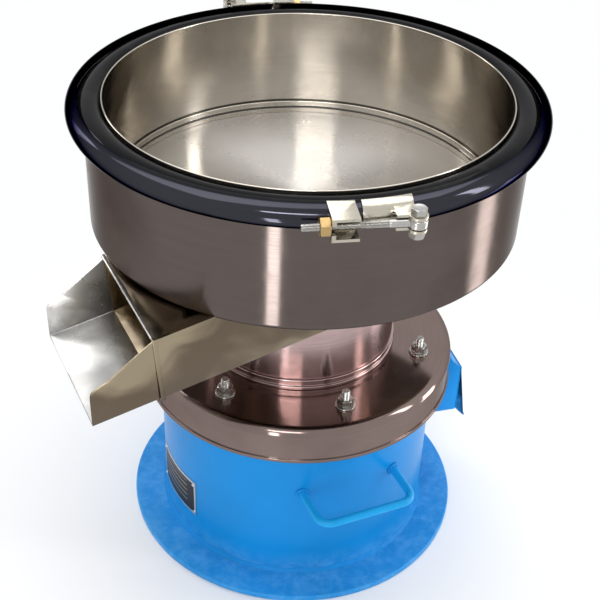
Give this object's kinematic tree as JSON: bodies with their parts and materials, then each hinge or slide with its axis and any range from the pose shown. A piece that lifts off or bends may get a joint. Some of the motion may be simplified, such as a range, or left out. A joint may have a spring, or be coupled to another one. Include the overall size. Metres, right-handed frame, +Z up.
{
  "type": "vibrating sieve",
  "caption": "Round vibrating sieve: open-top basket with fine mesh clamped on a polished pan with side chute, on a rubber-mounted deck driven by a vertical motor in a blue base",
  "frame": {"origin": "centre of the underside of the round foot ring, on the machine axis, at floor level", "axes": "+Z up along the machine axis; the discharge chute points to -X and -Y, turned 22 degrees from -X; the front clamp and carry handle face -Y"},
  "size_m": [0.5579, 0.5744, 0.6005],
  "materials": {
    "azure_paint": "gloss enamel paint",
    "polished_stainless": "mirror-polished stainless steel",
    "satin_stainless": "bright stainless steel",
    "mesh_stainless": "fine woven stainless wire cloth",
    "zinc_steel": "bright zinc-plated steel",
    "brass_nut": "plain brass",
    "black_rubber": "glossy moulded rubber",
    "motor_iron": "painted casting",
    "lamination_iron": "stacked sheet iron",
    "plate_aluminium": "bare metal plate with black printed fields",
    "black_nylon": "moulded nylon"
  },
  "bodies": {
    "base": {"foot_ring": "azure_paint", "base_shell": "azure_paint", "mount_seat_ring": "azure_paint", "rubber_mounts": "black_rubber", "lower_mount_studs": "zinc_steel", "lower_mount_nuts": "zinc_steel", "carry_handle_right": "azure_paint", "carry_handle_left": "azure_paint", "terminal_box": "azure_paint", "terminal_cover": "azure_paint", "terminal_screws": "zinc_steel", "cable_gland": "black_nylon", "nameplate": "plate_aluminium", "nameplate_rivets": "plate_aluminium"},
    "deck": {"deck_plate": "zinc_steel", "deck_cover": "polished_stainless", "neck_collar": "polished_stainless", "neck": "polished_stainless", "upper_mount_studs": "zinc_steel", "upper_mount_washers": "zinc_steel", "upper_mount_nuts": "zinc_steel", "motor_housing": "motor_iron", "stator_core": "lamination_iron", "upper_end_shield": "motor_iron", "upper_bearing": "zinc_steel", "lower_end_shield": "motor_iron", "lower_bearing": "zinc_steel", "motor_bolts": "zinc_steel", "chute_channel": "polished_stainless", "chute_trough": "polished_stainless", "mouth_frame": "polished_stainless", "tub": "polished_stainless"},
    "rotor": {"rotor_shaft": "zinc_steel", "rotor_core": "lamination_iron", "upper_weight": "motor_iron", "lower_weight": "motor_iron", "weight_lock_nuts": "zinc_steel"},
    "basket": {"basket_shell": "satin_stainless", "sieve_mesh": "mesh_stainless", "mesh_ring": "satin_stainless", "basket_gasket": "black_rubber"},
    "ring_right": {"ring_half_right": "polished_stainless", "pivot_bracket_front": "satin_stainless", "pivot_pin_front": "zinc_steel", "pivot_nut_front": "zinc_steel", "fork_bracket_rear": "satin_stainless"},
    "ring_left": {"ring_half_left": "polished_stainless", "pivot_bracket_rear": "satin_stainless", "pivot_pin_rear": "zinc_steel", "pivot_nut_rear": "zinc_steel", "fork_bracket_front": "satin_stainless"},
    "bolt_front": {"swing_bolt_front": "zinc_steel"},
    "bolt_rear": {"swing_bolt_rear": "zinc_steel"},
    "nut_front": {"clamp_nut_front": "brass_nut"},
    "nut_rear": {"clamp_nut_rear": "brass_nut"}
  },
  "joints": [
    {"name": "deck_bounce", "type": "slide", "parent": "base", "child": "deck", "axis": [0, 0, 1], "range_m": [-0.002, 0.002], "stiffness_N_per_m": 600000, "springref_m": 0.00101, "deforming": ["rubber_mounts"]},
    {"name": "rotor_spin", "type": "hinge", "parent": "deck", "child": "rotor", "pos_m": [0, 0, 0.2], "axis": [0, 0, 1], "continuous": true},
    {"name": "basket_lift", "type": "slide", "parent": "deck", "child": "basket", "axis": [0, 0, 1], "range_m": [0, 0.18]},
    {"name": "ring_right_slack", "type": "slide", "parent": "deck", "child": "ring_right", "axis": [0.9962, 0.0872, 0], "range_m": [0, 0.0018]},
    {"name": "ring_left_slack", "type": "slide", "parent": "deck", "child": "ring_left", "axis": [-0.9962, -0.0872, 0], "range_m": [0, 0.0018]},
    {"name": "swing_bolt_front_turn", "type": "hinge", "parent": "ring_right", "child": "bolt_front", "pos_m": [0.08292, -0.2708, 0.585], "axis": [0, 0, 1], "range_deg": [0, 50]},
    {"name": "swing_bolt_rear_turn", "type": "hinge", "parent": "ring_left", "child": "bolt_rear", "pos_m": [-0.08292, 0.2708, 0.585], "axis": [0, 0, 1], "range_deg": [0, 50.5]},
    {"name": "clamp_nut_front_run", "type": "slide", "parent": "bolt_front", "child": "nut_front", "axis": [-0.9962, -0.0872, 0], "range_m": [0, 0.0228]},
    {"name": "clamp_nut_rear_run", "type": "slide", "parent": "bolt_rear", "child": "nut_rear", "axis": [0.9962, 0.0872, 0], "range_m": [0, 0.0228]}
  ],
  "couplings": [
    {"joint": "clamp_nut_front_run", "follows": "swing_bolt_front_turn", "m_per_rad": 0.026},
    {"joint": "clamp_nut_rear_run", "follows": "swing_bolt_front_turn", "m_per_rad": 0.026},
    {"joint": "swing_bolt_rear_turn", "follows": "swing_bolt_front_turn", "ratio": 1},
    {"joint": "ring_right_slack", "follows": "swing_bolt_front_turn", "m_per_rad": 0.002},
    {"joint": "ring_left_slack", "follows": "swing_bolt_front_turn", "m_per_rad": 0.002}
  ]
}
